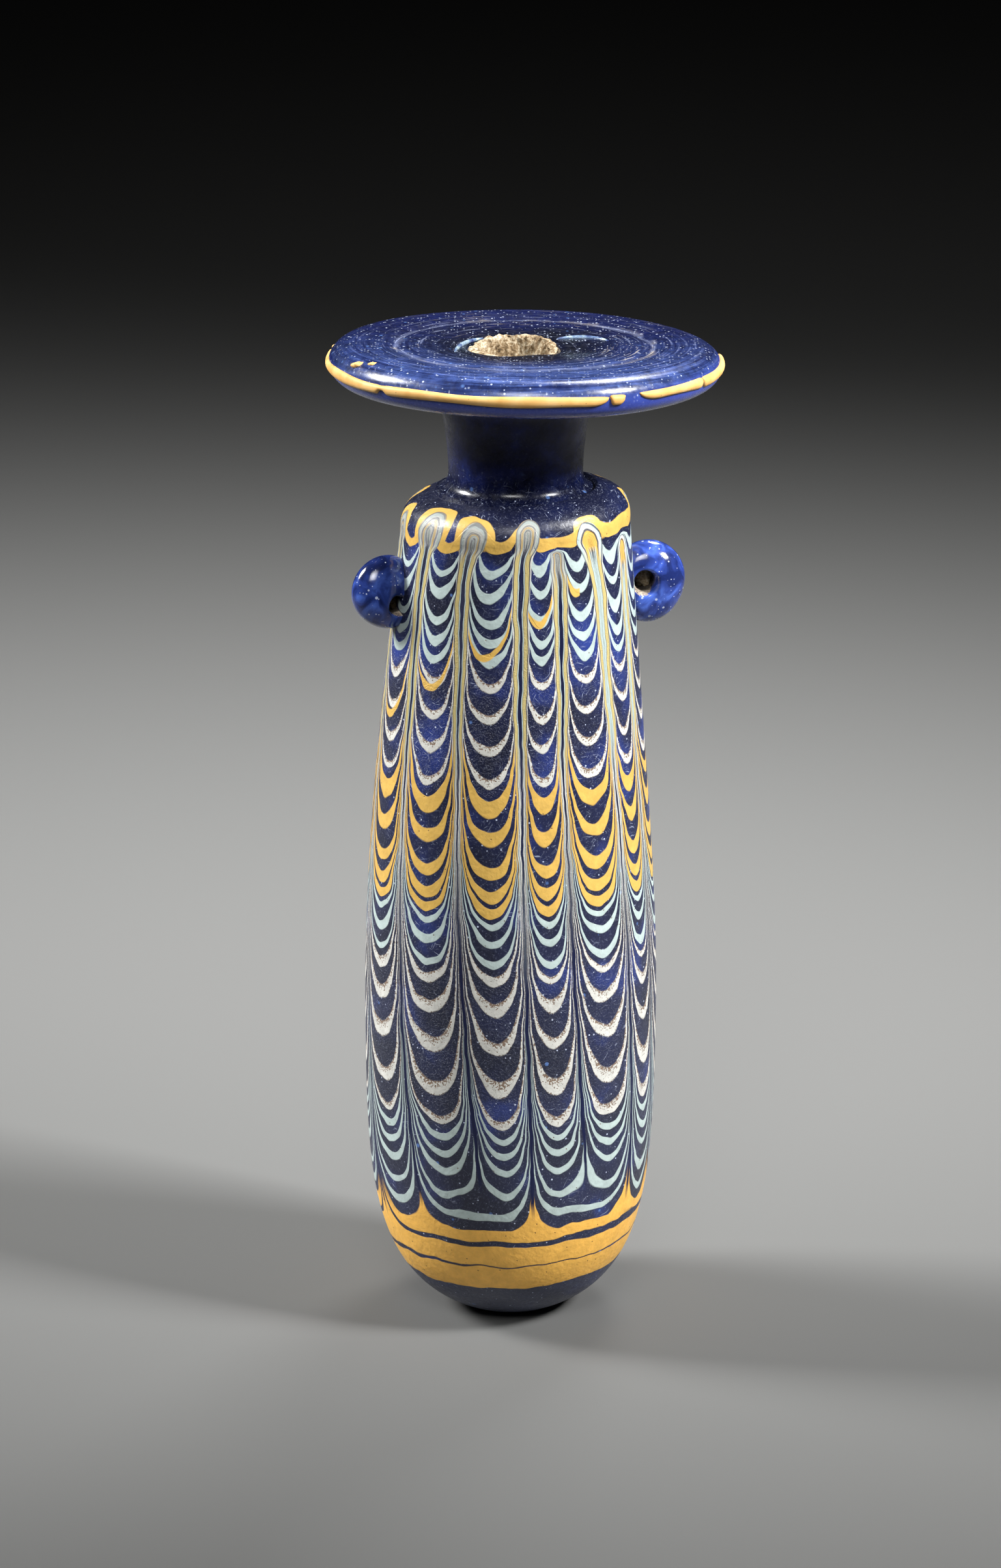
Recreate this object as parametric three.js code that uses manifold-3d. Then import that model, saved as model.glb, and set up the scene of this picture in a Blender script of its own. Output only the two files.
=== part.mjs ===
// Core-formed glass alabastron: a hollow cobalt-blue perfume flask with a long body that narrows upwards,
// a short neck, a broad disk rim, two pierced lugs and a thread of yellow glass laid round the rim's edge.
// All of it was joined hot, so the flask is one fused piece of glass. Millimetres, +Z up.
import * as THREE from "three";
import { mergeVertices } from "three/addons/utils/BufferGeometryUtils.js";
import Module from "manifold-3d";

// Body and shoulder. The flask stands on z = 0, on the slightly flattened middle of its convex bottom.
const FOOT_RADIUS = 6.0;
const HEEL_FULLNESS = 12.5; // how far out the bottom runs before it turns up
const HEEL_RISE = 4.8; // height of that turn
const HEEL_DRAW = 24.9; // how far below the belly the wall is still upright
const BELLY_RADIUS = 19.3;
const BELLY_HEIGHT = 41.7;
const WALL_DRAW = 19.3; // how far above the belly the wall is still upright
const TAPER_REACH = 32.2; // length of the straight taper below the shoulder
const TAPER_SPREAD = 2.7; // widening of the wall over that length
const SHOULDER_RADIUS = 14.7;
const SHOULDER_HEIGHT = 107.6;
const SHOULDER_ROUND = 3.6; // height of the rounded shoulder edge

// Neck, and the way its axis drifts to +X as it was pulled up
const NECK_ROOT_RADIUS = 8.7;
const NECK_ROOT_HEIGHT = 112.6;
const NECK_TOP_RADIUS = 9.5;
const NECK_TOP_HEIGHT = 122.5;
const NECK_FLARE = 2.6; // how far the neck spreads under the disk
const LEAN = 0.65;
const LEAN_FROM = 60.0;
const LEAN_TO = 114.0;

// Disk rim, pressed on a little off the axis and out of level
const DISK_RADIUS = 25.2;
const DISK_THICKNESS = 5.1;
const DISK_EDGE = 3.0; // radial depth of its rounded edge
const DISK_HEIGHT = 128.5; // middle of its thickness
const DISK_OFFSET = 1.7;
const DISK_TILT_BACK = 1.5; // degrees, the front edge higher
const DISK_TILT_SIDE = 0.65; // degrees, the +X edge lower

// Hollow inside: cavity, bore of the neck and the mouth
const WALL = 3.2;
const BOTTOM_WALL = 4.6;
const CAVITY_FOOT = 5.0; // radius of the cavity's flat floor
const VAULT_RISE = 1.0; // how far the cavity's roof bulges into the shoulder
const BORE_DEPTH = 1.0; // the bore starts this far below the neck's root
const BORE_RADIUS = 5.0;
const MOUTH_RADIUS = 5.8;
const MOUTH_DEPTH = 4.0; // the bore starts to widen this far below the top
const LIP_DEPTH = 1.0; // and most of it in this last stretch
const ABOVE_MOUTH = 140.0; // the cavity's tool runs past the top

// Lugs: fat pierced beads whose hole runs along the wall, for a carrying cord
const LUG_HEIGHT = 100.2;
const LUG_RADIUS = 4.9;
const LUG_HOLE_RADIUS = 1.35;
const LUG_THICKNESS = 5.6;
const LUG_STAND_OFF = 2.0; // middle of the hole outside the wall
const LUG_AZIMUTHS = { right: 8, left: 195 }; // degrees from +X

// Yellow thread on the rim's edge, chipped away in places. Arcs are degrees from the front, +X side positive.
const THREAD_RADIUS = 0.7;
const THREAD_PROUD = 0.25; // middle of the thread outside the glass
const THREAD_WAVE = 0.25;
const THREAD_WAVES = 3; // waves in a full turn
const THREAD_ARCS = [
  [-95, 28.5],
  [35.5, 97],
  [108, 170],
  [183, 238],
];

// Facets
const BODY_SIDES = 48;
const CAVITY_SIDES = 28;
const DISK_SIDES = 56;
const LUG_SIDES = 20;
const CURVE_STEPS = 8; // steps along each curve of a profile
const LUG_STEPS = 7; // half the sides of a lug's oval section
const THREAD_STEPS = 4; // half the sides of the thread's round section
const THREAD_ARC_STEP = 6; // degrees
const MERGE_DISTANCE = 1e-4; // corners closer than this are one corner

const FRONT = -90; // azimuth of the front, degrees from +X
const COBALT = 0x1a2560;
const toRadians = THREE.MathUtils.degToRad;

const wasm = await Module();
wasm.setup();

// A closed geometry as a solid, without the flat triangles that a lathe leaves on its axis.
function solidOf(geometry) {
  const bare = geometry.clone();
  bare.deleteAttribute("normal");
  bare.deleteAttribute("uv");
  const merged = mergeVertices(bare, MERGE_DISTANCE);
  const corners = Array.from(merged.index.array);
  const kept = [];
  for (let i = 0; i < corners.length; i += 3) {
    const [a, b, c] = corners.slice(i, i + 3);
    if (a !== b && b !== c && c !== a) kept.push(a, b, c);
  }
  return new wasm.Manifold(
    new wasm.Mesh({
      numProp: 3,
      vertProperties: merged.attributes.position.array,
      triVerts: new Uint32Array(kept),
    }),
  );
}

function geometryOf(solid) {
  const { vertProperties, triVerts } = solid.getMesh();
  const geometry = new THREE.BufferGeometry();
  geometry.setAttribute("position", new THREE.BufferAttribute(vertProperties, 3));
  geometry.setIndex(new THREE.BufferAttribute(triVerts, 1));
  geometry.computeVertexNormals();
  return geometry;
}

// A profile of radius and height, turned about +Z.
function turned(path, sides) {
  const geometry = new THREE.LatheGeometry(path.getPoints(CURVE_STEPS), sides);
  return geometry.rotateX(Math.PI / 2);
}

// The drift of the flask's axis: nothing at the belly, LEAN at the neck.
function lean(geometry) {
  const position = geometry.attributes.position;
  for (let i = 0; i < position.count; i++) {
    const share = THREE.MathUtils.smoothstep(position.getZ(i), LEAN_FROM, LEAN_TO);
    position.setX(i, position.getX(i) + LEAN * share);
  }
  return geometry;
}

// Outline of a wall from foot to belly to shoulder to neck, set in by a thickness for the cavity.
function wallOutline(path, thickness, bottom, foot) {
  const belly = BELLY_RADIUS - thickness;
  const shoulder = SHOULDER_RADIUS - thickness;
  path.moveTo(0, bottom);
  path.lineTo(foot, bottom);
  path.bezierCurveTo(
    foot + HEEL_FULLNESS - thickness,
    bottom + HEEL_RISE,
    belly,
    BELLY_HEIGHT - HEEL_DRAW,
    belly,
    BELLY_HEIGHT,
  );
  path.bezierCurveTo(
    belly,
    BELLY_HEIGHT + WALL_DRAW,
    shoulder + TAPER_SPREAD,
    SHOULDER_HEIGHT - TAPER_REACH,
    shoulder,
    SHOULDER_HEIGHT - thickness / 2,
  );
  return path;
}

function flaskOutside() {
  const path = wallOutline(new THREE.Path(), 0, 0, FOOT_RADIUS);
  const neckRun = NECK_TOP_HEIGHT - NECK_ROOT_HEIGHT;
  path.bezierCurveTo(
    SHOULDER_RADIUS,
    SHOULDER_HEIGHT + SHOULDER_ROUND,
    NECK_ROOT_RADIUS + SHOULDER_ROUND,
    NECK_ROOT_HEIGHT,
    NECK_ROOT_RADIUS,
    NECK_ROOT_HEIGHT,
  );
  path.bezierCurveTo(
    NECK_ROOT_RADIUS,
    NECK_ROOT_HEIGHT + neckRun / 2,
    NECK_TOP_RADIUS,
    NECK_TOP_HEIGHT,
    NECK_TOP_RADIUS + NECK_FLARE,
    DISK_HEIGHT - DISK_THICKNESS / 4,
  );
  path.lineTo(0, DISK_HEIGHT);
  return solidOf(lean(turned(path, BODY_SIDES)));
}

function cavity() {
  const path = wallOutline(new THREE.Path(), WALL, BOTTOM_WALL, CAVITY_FOOT);
  const top = DISK_HEIGHT + DISK_THICKNESS / 2;
  path.bezierCurveTo(
    SHOULDER_RADIUS - WALL,
    SHOULDER_HEIGHT + VAULT_RISE,
    BORE_RADIUS,
    SHOULDER_HEIGHT,
    BORE_RADIUS,
    NECK_ROOT_HEIGHT - BORE_DEPTH,
  );
  path.lineTo(BORE_RADIUS, top - MOUTH_DEPTH);
  path.quadraticCurveTo(BORE_RADIUS, top - LIP_DEPTH, MOUTH_RADIUS, top);
  path.lineTo(MOUTH_RADIUS, ABOVE_MOUTH);
  path.lineTo(0, ABOVE_MOUTH);
  return solidOf(lean(turned(path, CAVITY_SIDES)));
}

// Where the disk sits: off the axis, its front edge up and its +X edge down.
const diskPlace = new THREE.Matrix4().compose(
  new THREE.Vector3(DISK_OFFSET, 0, DISK_HEIGHT),
  new THREE.Quaternion().setFromEuler(
    new THREE.Euler(toRadians(-DISK_TILT_BACK), toRadians(DISK_TILT_SIDE), 0),
  ),
  new THREE.Vector3(1, 1, 1),
);

function diskRim() {
  const half = DISK_THICKNESS / 2;
  const path = new THREE.Path();
  path.moveTo(0, -half);
  path.lineTo(DISK_RADIUS - DISK_EDGE, -half);
  path.absellipse(DISK_RADIUS - DISK_EDGE, 0, DISK_EDGE, half, -Math.PI / 2, Math.PI / 2);
  path.lineTo(0, half);
  return solidOf(turned(path, DISK_SIDES).applyMatrix4(diskPlace));
}

// One unbroken stretch of the yellow thread, a round bead that follows the disk's edge in slow waves.
class ThreadCurve extends THREE.Curve {
  constructor(from, to) {
    super();
    this.from = from;
    this.to = to;
  }
  getPoint(t, target = new THREE.Vector3()) {
    const angle = toRadians(FRONT + THREE.MathUtils.lerp(this.from, this.to, t));
    const radius = DISK_RADIUS + THREAD_PROUD;
    const wave = THREAD_WAVE * Math.sin(THREAD_WAVES * angle);
    return target.set(radius * Math.cos(angle), radius * Math.sin(angle), wave);
  }
}

function rimThread([from, to]) {
  const section = new THREE.Shape();
  section.absarc(0, 0, THREAD_RADIUS, 0, 2 * Math.PI);
  const geometry = new THREE.ExtrudeGeometry(section, {
    curveSegments: THREAD_STEPS,
    steps: Math.ceil((to - from) / THREAD_ARC_STEP),
    extrudePath: new ThreadCurve(from, to),
  });
  return solidOf(geometry.applyMatrix4(diskPlace));
}

// Radius of the outside wall at the lugs, on the straight taper below the shoulder.
function wallRadiusAtLug() {
  const share = (SHOULDER_HEIGHT - LUG_HEIGHT) / TAPER_REACH;
  return SHOULDER_RADIUS + TAPER_SPREAD * share;
}

// A pierced bead: its section is an oval swung round the hole, which lies along the wall.
function lug(azimuth) {
  const section = new THREE.Path();
  const half = (LUG_RADIUS - LUG_HOLE_RADIUS) / 2;
  section.absellipse(LUG_HOLE_RADIUS + half, 0, half, LUG_THICKNESS / 2, 0, 2 * Math.PI);
  const ring = new THREE.LatheGeometry(section.getPoints(LUG_STEPS), LUG_SIDES);
  const axisShift = LEAN * THREE.MathUtils.smoothstep(LUG_HEIGHT, LEAN_FROM, LEAN_TO);
  ring.translate(wallRadiusAtLug() + LUG_STAND_OFF, 0, 0);
  ring.rotateZ(toRadians(azimuth));
  ring.translate(axisShift, 0, LUG_HEIGHT);
  return solidOf(ring);
}

function alabastron() {
  let glass = flaskOutside().add(diskRim());
  for (const azimuth of Object.values(LUG_AZIMUTHS)) glass = glass.add(lug(azimuth));
  for (const arc of THREAD_ARCS) glass = glass.add(rimThread(arc));
  const mesh = new THREE.Mesh(
    geometryOf(glass.subtract(cavity())),
    new THREE.MeshStandardMaterial({ color: COBALT, roughness: 0.25, metalness: 0 }),
  );
  mesh.name = "alabastron";
  return mesh;
}

const flask = new THREE.Group();
flask.add(alabastron());

export default flask;
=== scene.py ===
import functools
import math

import bpy
import numpy as np
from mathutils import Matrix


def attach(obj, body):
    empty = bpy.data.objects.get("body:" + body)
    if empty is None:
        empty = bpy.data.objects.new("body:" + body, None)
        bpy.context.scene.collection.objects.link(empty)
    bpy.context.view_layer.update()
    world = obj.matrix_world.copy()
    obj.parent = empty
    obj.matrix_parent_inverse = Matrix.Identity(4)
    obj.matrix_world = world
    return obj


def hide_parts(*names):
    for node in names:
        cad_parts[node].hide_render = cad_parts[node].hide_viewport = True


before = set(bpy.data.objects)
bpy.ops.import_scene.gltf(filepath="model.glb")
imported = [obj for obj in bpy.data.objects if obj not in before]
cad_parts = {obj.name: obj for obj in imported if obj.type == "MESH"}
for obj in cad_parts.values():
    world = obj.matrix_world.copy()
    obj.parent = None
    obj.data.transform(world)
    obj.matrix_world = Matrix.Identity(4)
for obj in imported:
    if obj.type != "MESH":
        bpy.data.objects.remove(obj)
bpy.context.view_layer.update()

# The flask: one wall of cobalt glass, wound hot round a core that was scraped out later.
# Body, shoulder, neck and disk rim were fused at the furnace, so they are one closed skin
# that runs from the middle of the bottom over the rim and down to the floor of the cavity.
MM = 0.001
FOOT_RADIUS = 6.0
BELLY = (19.3, 41.7)  # radius and height, here and below
SHOULDER = (14.7, 107.6)
SHOULDER_TOP = (10.2, 112.25)
NECK_ROOT = (8.65, 114.3)
NECK_TOP = (9.5, 122.3)
DISK_RADIUS = 25.2
DISK_EDGE = 3.0
DISK_HALF = 2.52
DISK_MIDDLE = 128.5
DISK_OFFSET = 1.7
DISK_TILT_BACK = math.radians(1.5)
DISK_TILT_SIDE = math.radians(0.65)
LEAN = 0.65
SHOULDER_SLOPE = 0.05  # the shoulder rises to the right
MOUTH_RADIUS = 5.9
BORE_RADIUS = 5.0
CAVITY_FLOOR = 4.6
AROUND = 256
GROOVE = (0.14, 0.75)  # depth and half width of the groove along a stroke
TOOLED_RING = (16.5, 0.9, 0.22)  # radius, half width and depth of the ring on the disk's top
LIP_BULGE = (24.0, 34.0, 1.9)  # degrees from the front and half width, and how far it narrows the mouth
LIP_DIP = (80.0, 32.0, 8.2, 2.2, 0.45)  # degrees and half width, radius and half width, depth


def bell(value, middle, half):
    """exp(-t^2), with t the distance from the middle in half widths."""
    return np.exp(-(((value - middle) / half) ** 2))


def share_of(span, value):
    """Where a value lies in a span: 0 at its start and 1 at its end."""
    return (value - span[0]) / (span[1] - span[0])


def smoothstep(low, high, value):
    """0 below low, 1 above high, and 3t^2 - 2t^3 between them."""
    share = np.clip(share_of((low, high), value), 0.0, 1.0)
    return share * share * (3.0 - 2.0 * share)


def bezier(corners, count):
    """Cubic curve: four corners weighted by (1-t)^3, 3t(1-t)^2, 3t^2(1-t) and t^3, last point left out."""
    t = np.linspace(0.0, 1.0, count, endpoint=False)[:, None]
    weights = np.hstack([(1 - t) ** 3, 3 * t * (1 - t) ** 2, 3 * t * t * (1 - t), t**3])
    return weights @ np.array(corners, float)


def straight(start, end, count):
    """Even steps from start to end, last point left out."""
    t = np.linspace(0.0, 1.0, count, endpoint=False)[:, None]
    return np.array(start) * (1 - t) + np.array(end) * t


def once_round(count):
    """Even angles once round, in radians."""
    return 2 * math.pi * np.arange(count) / count


def oval_edge(middle, reach, half, count):
    """The disk's rounded edge: half an oval from its underside round to its top."""
    turn = np.linspace(-math.pi / 2, math.pi / 2, count, endpoint=False)
    return np.stack([middle[0] + reach * np.cos(turn), middle[1] + half * np.sin(turn)], 1)


body_profile = np.vstack([
    straight((0.6, 0.0), (FOOT_RADIUS, 0.0), 6),
    bezier([(FOOT_RADIUS, 0.0), (18.5, 4.8), (19.3, 16.8), BELLY], 74),
    bezier([BELLY, (19.3, 61.0), (17.4, 75.4), SHOULDER], 104),
    bezier([SHOULDER, (14.9, 110.8), (13.0, 111.5), SHOULDER_TOP], 34),
])
rim_foot = (DISK_RADIUS - DISK_EDGE, DISK_MIDDLE)
rim_top = (rim_foot[0], DISK_MIDDLE + DISK_HALF)
upper_profile = np.vstack([
    bezier([SHOULDER_TOP, (9.2, 112.5), (8.7, 113.0), NECK_ROOT], 8),
    bezier([NECK_ROOT, (8.65, 117.0), (9.0, 119.5), NECK_TOP], 18),
    bezier([NECK_TOP, (9.8, 124.4), (10.8, 125.9), (13.5, 125.95)], 10),
    straight((13.5, 125.95), (DISK_RADIUS - DISK_EDGE, DISK_MIDDLE - DISK_HALF), 10),
    oval_edge(rim_foot, DISK_EDGE, DISK_HALF, 22),
    bezier([rim_top, (17.0, 131.02), (12.0, 130.75), (7.2, 130.55)], 36),
    bezier([(7.2, 130.55), (6.3, 130.5), (MOUTH_RADIUS, 130.2), (5.4, 128.8)], 10),
    straight((5.4, 128.8), (BORE_RADIUS, 111.6), 10),
    bezier([(BORE_RADIUS, 111.6), (BORE_RADIUS, 107.6), (11.5, 108.6), (11.5, 106.0)], 10),
    bezier([(11.5, 106.0), (14.2, 75.4), (16.1, 61.0), (16.1, 41.7)], 14),
    bezier([(16.1, 41.7), (16.1, 16.8), (14.3, 9.4), (5.0, CAVITY_FLOOR)], 14),
    straight((5.0, CAVITY_FLOOR), (0.6, CAVITY_FLOOR), 4),
])
profile = np.vstack([body_profile, upper_profile])
BODY_ROWS = len(body_profile)

# Height in the combed pattern: height on the wall, and length along the glass from the shoulder's edge on.
steps = np.hypot(*np.diff(profile, axis=0, prepend=profile[:1]).T)
over_shoulder = profile[:, 1] >= SHOULDER[1]
over_shoulder[BODY_ROWS:] = True
pattern_height = np.where(over_shoulder, SHOULDER[1] + np.cumsum(steps * over_shoulder), profile[:, 1])

angle = -180.0 + 360.0 * np.arange(AROUND) / AROUND  # degrees from the front, right positive

# Tine strokes of the comb: angle at three heights, where the stroke starts and ends, how far its end hooks,
# the radius of the cap of glass that the tine left at its end, and how pale its middle line is.
# Seven strokes show in front, and the back goes on in the same rhythm.
STROKE_HEIGHTS = (20.0, 60.0, 100.0)
SEEN_STROKES = [
    (-69.0, -79.0, -82.0, 12.0, 109.2, 3.0, 1.8, 0.0),
    (-40.0, -50.0, -53.0, 16.2, 110.4, 4.5, 2.3, 0.0),
    (-11.0, -21.0, -26.5, 19.8, 109.9, 6.0, 1.75, 0.0),
    (9.0, 5.3, 2.5, 16.0, 110.6, 4.0, 1.5, 0.0),
    (32.0, 24.6, 22.0, 20.9, 106.4, -3.0, 0.9, 0.0),
    (56.0, 53.0, 45.0, 15.7, 108.4, -5.0, 1.9, 1.0),
    (77.0, 72.5, 66.0, 16.0, 105.2, 2.0, 1.4, 1.0),
]
HIDDEN_STROKES = 7
first_hidden = SEEN_STROKES[-1][1]
hidden_step = (SEEN_STROKES[0][1] + 360.0 - first_hidden) / (HIDDEN_STROKES + 1)
hidden = first_hidden + hidden_step * np.arange(1, HIDDEN_STROKES + 1)
sway = np.sin(2.4 * np.arange(HIDDEN_STROKES))
hidden_strokes = np.stack([
    hidden + 8 + 2 * sway, hidden + 2 * sway, hidden - 5 - sway, 17 + 3 * sway, 109.4 + sway, 4 * sway,
    1.9 + 0.3 * sway, 0 * sway,
], 1)
strokes = np.vstack([SEEN_STROKES, hidden_strokes])


def stroke_angles(height):
    """Angle of every stroke at a height: a parabola through its three angles, plus the hook at its end."""
    t = share_of(STROKE_HEIGHTS[1:], np.clip(height, 14.0, 106.0))
    columns = strokes.T.reshape(strokes.shape[1], -1, *[1] * np.ndim(height))
    low, middle, high, hook = columns[[0, 1, 2, 5]]
    bow = (high + low) / 2 - middle
    return middle + t * (high - low) / 2 + t * t * bow + hook * smoothstep(101.0, 112.0, height)


def nearest_stroke(turn, height):
    """Number of the stroke whose angle is closest to a place on the wall."""
    gaps = (turn - stroke_angles(height) + 180.0) % 360.0 - 180.0
    return np.argmin(np.abs(gaps), axis=0)


def stroke_distance(turn, height, radius, chosen):
    """Signed distance along the wall from the chosen stroke, and half the column on that side, in mm."""
    angles = stroke_angles(height)
    ahead = (np.roll(angles, -1, axis=0) - angles) % 360.0 / 2
    behind = (angles - np.roll(angles, 1, axis=0)) % 360.0 / 2
    pick = chosen[None]
    gap = (turn - np.take_along_axis(angles, pick, 0)[0] + 180.0) % 360.0 - 180.0
    half = np.where(gap > 0, np.take_along_axis(ahead, pick, 0)[0], np.take_along_axis(behind, pick, 0)[0])
    arc = np.radians(1.0) * radius
    return gap * arc, half * arc


def disk_wobble(theta):
    """How far the disk's edge leaves the round: two slow waves."""
    return 0.25 * np.sin(2 * theta + 0.6) + 0.12 * np.sin(5 * theta)


def disk_tilt(x, y):
    """Rise of the disk at a place from its middle: a plane that falls to the back and to the right."""
    return -math.tan(DISK_TILT_BACK) * y - math.tan(DISK_TILT_SIDE) * x


def flask_surface(turn, radius, height):
    """The profile turned about the axis, with the marks of hand work laid over it.

    A slow wobble of the wall and a shallow groove along each stroke change the radius. The axis leans
    to the right, the shoulder rises to the right, and the disk is off centre and tilted. Round the mouth
    the lip bulges inwards on one side and dips on another, and a tooled ring lies on the disk's top.
    """
    on_body = smoothstep(4.0, 16.0, height) * (1 - smoothstep(106.0, 113.0, height))
    outside = (np.arange(len(height)) < BODY_ROWS)[:, None]
    theta = np.radians(turn)
    wobble = 0.10 * np.sin(2 * theta + 0.05 * height) + 0.07 * np.sin(3 * theta - 0.08 * height + 1.0)
    away, _ = stroke_distance(turn, height, radius, nearest_stroke(turn, height))
    groove = GROOVE[0] * bell(away, 0.0, GROOVE[1]) * smoothstep(18.0, 40.0, height)
    on_disk = smoothstep(122.0, 126.0, height)
    far_out = smoothstep(7.0, 14.0, radius)
    tooled_ring = TOOLED_RING[2] * bell(radius, *TOOLED_RING[:2]) * smoothstep(130.0, 131.0, height)
    lip_bulge = LIP_BULGE[2] * bell(turn, *LIP_BULGE[:2])
    mouth_wobble = 0.2 * np.sin(2 * theta + 1.0) + 0.15 * np.sin(3 * theta) - lip_bulge
    near_mouth = (1 - smoothstep(6.5, 10.0, radius)) * mouth_wobble * smoothstep(126.0, 130.2, height)
    on_top = smoothstep(130.0, 130.4, height) * smoothstep(5.6, 6.4, radius)
    dip = LIP_DIP[4] * bell(turn, *LIP_DIP[:2]) * bell(radius, *LIP_DIP[2:4]) * on_top
    spread = radius + on_body * outside * (wobble - groove)
    spread = spread + on_disk * far_out * disk_wobble(theta) * smoothstep(10.0, 24.0, radius) + near_mouth
    shift = LEAN * smoothstep(60.0, 114.0, height) + (DISK_OFFSET - LEAN) * on_disk * far_out
    x = spread * np.sin(theta) + shift
    y = -spread * np.cos(theta)
    shoulder = smoothstep(98.0, 110.0, height) * (1 - smoothstep(114.0, 122.0, height)) * outside
    z = height + SHOULDER_SLOPE * x * shoulder + on_disk * (disk_tilt(x - DISK_OFFSET, y) - tooled_ring) - dip
    return np.stack([x, y, z], -1)


def put_in_scene(name, data):
    """A new object of the scene that shows the data."""
    made = bpy.data.objects.new(name, data)
    bpy.context.scene.collection.objects.link(made)
    return made


def skin(name, rings, poles=None):
    """A mesh from closed rings of points in mm: neighbours are joined by quads, outward faces.

    With poles, a fan of triangles closes each end on its pole. Without them the last ring joins the first.
    """
    count, across = rings.shape[:2]
    points = rings.reshape(-1, 3)
    row = np.arange(count if poles is None else count - 1)[:, None] * across
    column = np.arange(across)[None, :]
    ahead = (column + 1) % across
    above = (row + across) % (count * across)
    quads = np.stack([row + column, row + ahead, above + ahead, above + column], -1).reshape(-1, 4)
    faces = quads.tolist()
    if poles is not None:
        points = np.vstack([points, poles])
        first, last = len(points) - 2, len(points) - 1
        column, ahead = column[0], ahead[0]
        top = (count - 1) * across
        faces += np.stack([np.full(across, first), ahead, column], 1).tolist()
        faces += np.stack([np.full(across, last), top + column, top + ahead], 1).tolist()
    mesh = bpy.data.meshes.new(name)
    mesh.from_pydata((points * MM).tolist(), [], faces)
    mesh.polygons.foreach_set("use_smooth", np.ones(len(faces), bool))
    return put_in_scene(name, mesh)


def capped(name, rings):
    """A skin that is closed on the middles of its first and last ring."""
    return skin(name, rings, np.stack([rings[0].mean(0), rings[-1].mean(0)]))


radius_rows, height_rows = profile[:, :1], profile[:, 1:]
rings = flask_surface(np.broadcast_to(angle, (len(profile), AROUND)), radius_rows, height_rows)
flask = skin("flask", rings, np.array([[0.0, 0.0, 0.0], [0.0, 0.0, CAVITY_FLOOR]]))

# Coordinates of the combed pattern, kept on the corners so that they run on across the seam at the back:
# "wall" is the turn and the height, "stroke" the distance from the nearest stroke and half its column,
# "span" where that stroke starts and ends, "cap" the radius of the cap at its end and its paleness.
row_count = len(profile)
low_row = np.repeat(np.arange(row_count - 1), AROUND)
column_of = np.tile(np.arange(AROUND), row_count - 1)
corner_rows = np.stack([low_row, low_row, low_row + 1, low_row + 1], 1)
corner_turn = angle[column_of][:, None] + np.array([0.0, 1.0, 1.0, 0.0]) * 360.0 / AROUND
corner_height = pattern_height[corner_rows]
corner_radius = profile[corner_rows, 0]
chosen = nearest_stroke(corner_turn.mean(1), corner_height.mean(1))
chosen = np.repeat(chosen[:, None], 4, 1)
away, half = stroke_distance(corner_turn, corner_height, corner_radius, chosen)
pole_corners = 2 * AROUND * 3
for layer_name, first, second in (
    ("wall", corner_turn / 360.0, corner_height),
    ("stroke", away, half),
    ("span", strokes[chosen, 3], strokes[chosen, 4]),
    ("cap", strokes[chosen, 6], strokes[chosen, 7]),
):
    layer = flask.data.uv_layers.new(name=layer_name)
    values = np.stack([first, second], -1).reshape(-1, 2)
    values = np.vstack([values, np.zeros((pole_corners, 2))])
    layer.data.foreach_set("uv", values.astype(np.float32).ravel())

# Cobalt glass with combed trails: dark blue soda glass, opaque at this thickness, satin from burial, with
# threads of ochre, turquoise and white glass pressed flush. Each thread sags in swags between the strokes
# and is drawn out into fine lines along them. White threads are pitted, the blue is specked and scratched.
COBALT_DEEP = "#101328"
COBALT = "#161c3e"
COBALT_BRIGHT = "#223680"
SHOULDER_NAVY = "#0b0f26"
OCHRE = "#d6ad58"
FLANK_OCHRE = "#bfae74"
FOOT_OCHRE = "#f4bb58"
TURQUOISE = "#b4c4c1"
WHITE = "#cfcec7"
SPECK = "#c3cde4"
SEED = "#5f86c8"
HAZE = "#7d8296"
CAP_GREY = "#8b8c86"
PIT = "#6f5136"


def linear(code):
    """An sRGB hex colour as linear red, green and blue, with alpha 1."""
    parts = [int(code[place:place + 2], 16) / 255 for place in (1, 3, 5)]
    return (*[((part + 0.055) / 1.055) ** 2.4 if part > 0.04045 else part / 12.92 for part in parts], 1.0)


def add_node(tree, kind, *inputs, out=0, **words):
    """Adds one shader node, fills its inputs in order, and gives one output.

    A kind with an operation names both, as in "Math ADD". A word with a capital is an input by its name,
    with _ for a blank, and any other word is a setting of the node.
    """
    kind, *operation = kind.split()
    made = tree.nodes.new("ShaderNode" + kind)
    if operation:
        made.operation = operation[0]
    filled = list(zip(made.inputs, inputs))
    for name, value in words.items():
        if name[0].isupper():
            filled.append((made.inputs[name.replace("_", " ")], value))
        else:
            setattr(made, name, value)
    for socket, value in filled:
        if isinstance(value, bpy.types.NodeSocket):
            tree.links.new(value, socket)
        elif value is not None:
            socket.default_value = value
    return made.outputs[out] if made.outputs else made


def new_material(name):
    """An empty node material, and the function that adds a node to it."""
    material = bpy.data.materials.new(name)
    material.use_nodes = True
    material.node_tree.nodes.clear()
    return material, functools.partial(add_node, material.node_tree)


def set_stops(ramp_output, stops, interpolation="LINEAR"):
    """Gives a colour ramp its stops, a list of place and hex colour."""
    ramp = ramp_output.node.color_ramp
    ramp.interpolation = interpolation
    while len(ramp.elements) < len(stops):
        ramp.elements.new(0.5)
    for element, (place, code) in zip(ramp.elements, stops):
        element.position = place
        element.color = linear(code)


def set_curve(curve_output, places):
    """Gives a float curve straight runs between places, pairs from 0 to 1."""
    mapping = curve_output.node.mapping
    points = mapping.curves[0].points
    while len(points) < len(places):
        points.new(0.5, 0.5)
    for point, place in zip(points, places):
        point.location = place
        point.handle_type = "VECTOR"
    mapping.update()


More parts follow.
